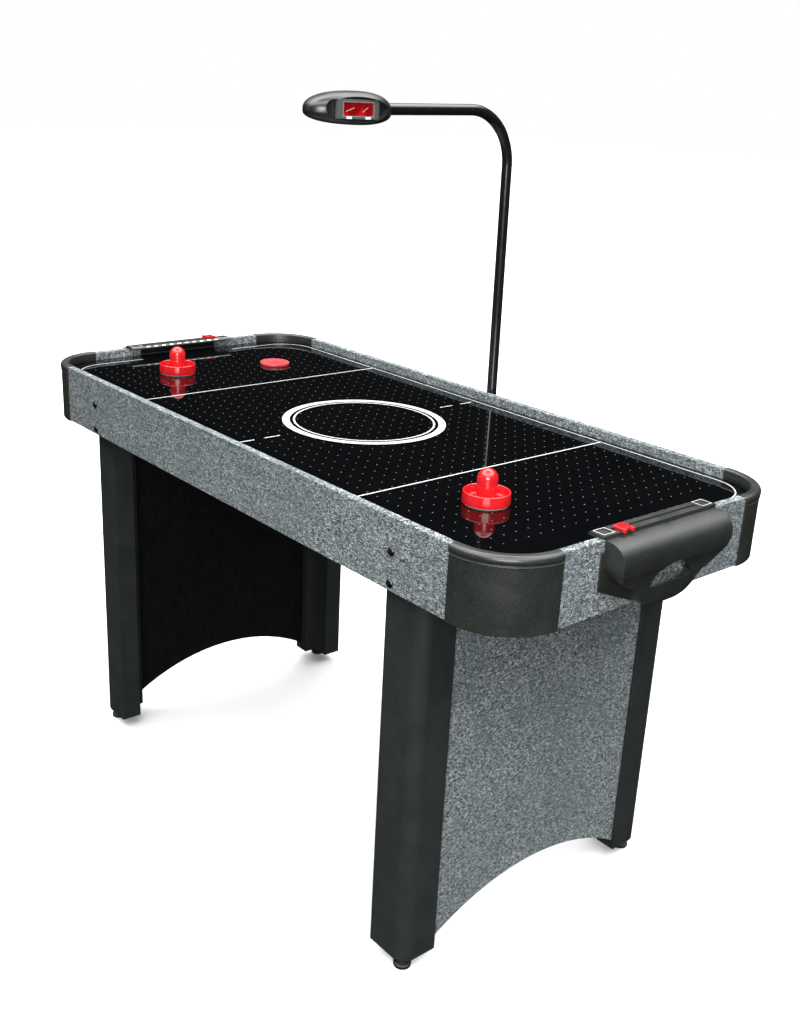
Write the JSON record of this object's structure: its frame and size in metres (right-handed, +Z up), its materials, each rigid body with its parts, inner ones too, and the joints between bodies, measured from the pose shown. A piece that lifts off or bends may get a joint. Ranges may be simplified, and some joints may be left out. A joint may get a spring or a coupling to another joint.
{
  "type": "air hockey table",
  "caption": "Small air hockey table with granite-look rails, glossy playfield, goal boxes with hand scorers, arched end panels and a score display on a bent pole.",
  "frame": {"origin": "on the floor, under the middle of the whole table's box", "axes": "+Z up; +X along the table towards the near goal; +Y across it, towards the score pole"},
  "size_m": [1.472, 0.6625, 1.3535],
  "materials": {
    "granite_laminate": "speckled granite laminate on fibreboard, satin",
    "black_plastic": "fine-textured moulding, satin",
    "playfield_laminate": "mirror-gloss black with white printed lines and small air holes",
    "hardboard": "bare hardboard",
    "leg_vinyl": "charcoal vinyl wrap on fibreboard, satin",
    "foot_plastic": "moulded, matt",
    "bolt_steel": "black-plated steel",
    "red_plastic": "glossy red moulding",
    "felt": "black felt",
    "pole_paint": "gloss black powder coat",
    "gloss_shell": "semi-gloss black moulding",
    "grey_plastic": "satin grey moulding",
    "red_window": "dark red clear window, glossy",
    "circuit_board": "green circuit board",
    "motor_steel": "plated steel can"
  },
  "bodies": {
    "table": {"side_rail_left": "granite_laminate", "side_rail_right": "granite_laminate", "end_rail_near": "granite_laminate", "end_rail_far": "granite_laminate", "corner_cap_near_left": "black_plastic", "corner_cap_near_right": "black_plastic", "corner_cap_far_left": "black_plastic", "corner_cap_far_right": "black_plastic", "playfield": "playfield_laminate", "plenum_floor": "hardboard", "plenum_strip_left": "hardboard", "plenum_strip_right": "hardboard", "plenum_strip_near": "hardboard", "plenum_strip_far": "hardboard", "leg_post_near_left": "leg_vinyl", "leg_bolt_near_left_upper": "bolt_steel", "leg_bolt_near_left_lower": "bolt_steel", "leg_post_near_right": "leg_vinyl", "leg_bolt_near_right_upper": "bolt_steel", "leg_bolt_near_right_lower": "bolt_steel", "leg_post_far_left": "leg_vinyl", "leg_bolt_far_left_upper": "bolt_steel", "leg_bolt_far_left_lower": "bolt_steel", "leg_post_far_right": "leg_vinyl", "leg_bolt_far_right_upper": "bolt_steel", "leg_bolt_far_right_lower": "bolt_steel", "end_panel_near": "granite_laminate", "goal_box_near": "black_plastic", "goal_sensor_near": "circuit_board", "score_bar_near": "black_plastic", "display_bezel_near": "grey_plastic", "display_window_near": "red_window", "end_panel_far": "granite_laminate", "goal_box_far": "black_plastic", "goal_sensor_far": "circuit_board", "score_bar_far": "black_plastic", "display_bezel_far": "grey_plastic", "display_window_far": "red_window", "score_pole": "pole_paint", "pole_bracket": "black_plastic", "head_upper_shell": "gloss_shell", "head_lower_shell": "gloss_shell", "score_board": "circuit_board", "blower_housing": "black_plastic", "blower_grille": "black_plastic", "blower_motor": "motor_steel"},
    "score_marker_near": {"score_marker_near": "red_plastic"},
    "score_marker_far": {"score_marker_far": "red_plastic"},
    "mallet_near": {"mallet_near": "red_plastic", "mallet_felt_near": "felt"},
    "mallet_far": {"mallet_far": "red_plastic", "mallet_felt_far": "felt"},
    "puck": {"puck": "red_plastic"},
    "blower_impeller": {"blower_impeller": "black_plastic"},
    "power_rocker": {"power_rocker": "red_plastic"},
    "levelling_foot_near_left": {"levelling_foot_near_left": "foot_plastic"},
    "levelling_foot_near_right": {"levelling_foot_near_right": "foot_plastic"},
    "levelling_foot_far_left": {"levelling_foot_far_left": "foot_plastic"},
    "levelling_foot_far_right": {"levelling_foot_far_right": "foot_plastic"}
  },
  "joints": [
    {"name": "score_marker_near_slide", "type": "slide", "parent": "table", "child": "score_marker_near", "axis": [0, 1, 0], "range_m": [0, 0.16]},
    {"name": "score_marker_far_slide", "type": "slide", "parent": "table", "child": "score_marker_far", "axis": [0, -1, 0], "range_m": [0, 0.16]},
    {"name": "mallet_near_glide", "type": "slide", "parent": "table", "child": "mallet_near", "axis": [1, 0, 0], "range_m": [-0.42, 0.16]},
    {"name": "mallet_far_glide", "type": "slide", "parent": "table", "child": "mallet_far", "axis": [1, 0, 0], "range_m": [-0.125, 0.455]},
    {"name": "puck_glide", "type": "slide", "parent": "table", "child": "puck", "axis": [1, 0, 0], "range_m": [-0.18, 1.115]},
    {"name": "blower_spin", "type": "hinge", "parent": "table", "child": "blower_impeller", "pos_m": [0, -0.01055, 0.728], "axis": [0, 0, 1], "continuous": true},
    {"name": "power_rocker_pivot", "type": "hinge", "parent": "table", "child": "power_rocker", "pos_m": [0, 0.08045, 0.722], "axis": [1, 0, 0], "range_deg": [0, 16]},
    {"name": "foot_near_left_screw", "type": "slide", "parent": "table", "child": "levelling_foot_near_left", "axis": [0, 0, 1], "range_m": [-0.01, 0.006]},
    {"name": "foot_near_right_screw", "type": "slide", "parent": "table", "child": "levelling_foot_near_right", "axis": [0, 0, 1], "range_m": [-0.01, 0.006]},
    {"name": "foot_far_left_screw", "type": "slide", "parent": "table", "child": "levelling_foot_far_left", "axis": [0, 0, 1], "range_m": [-0.01, 0.006]},
    {"name": "foot_far_right_screw", "type": "slide", "parent": "table", "child": "levelling_foot_far_right", "axis": [0, 0, 1], "range_m": [-0.01, 0.006]}
  ]
}
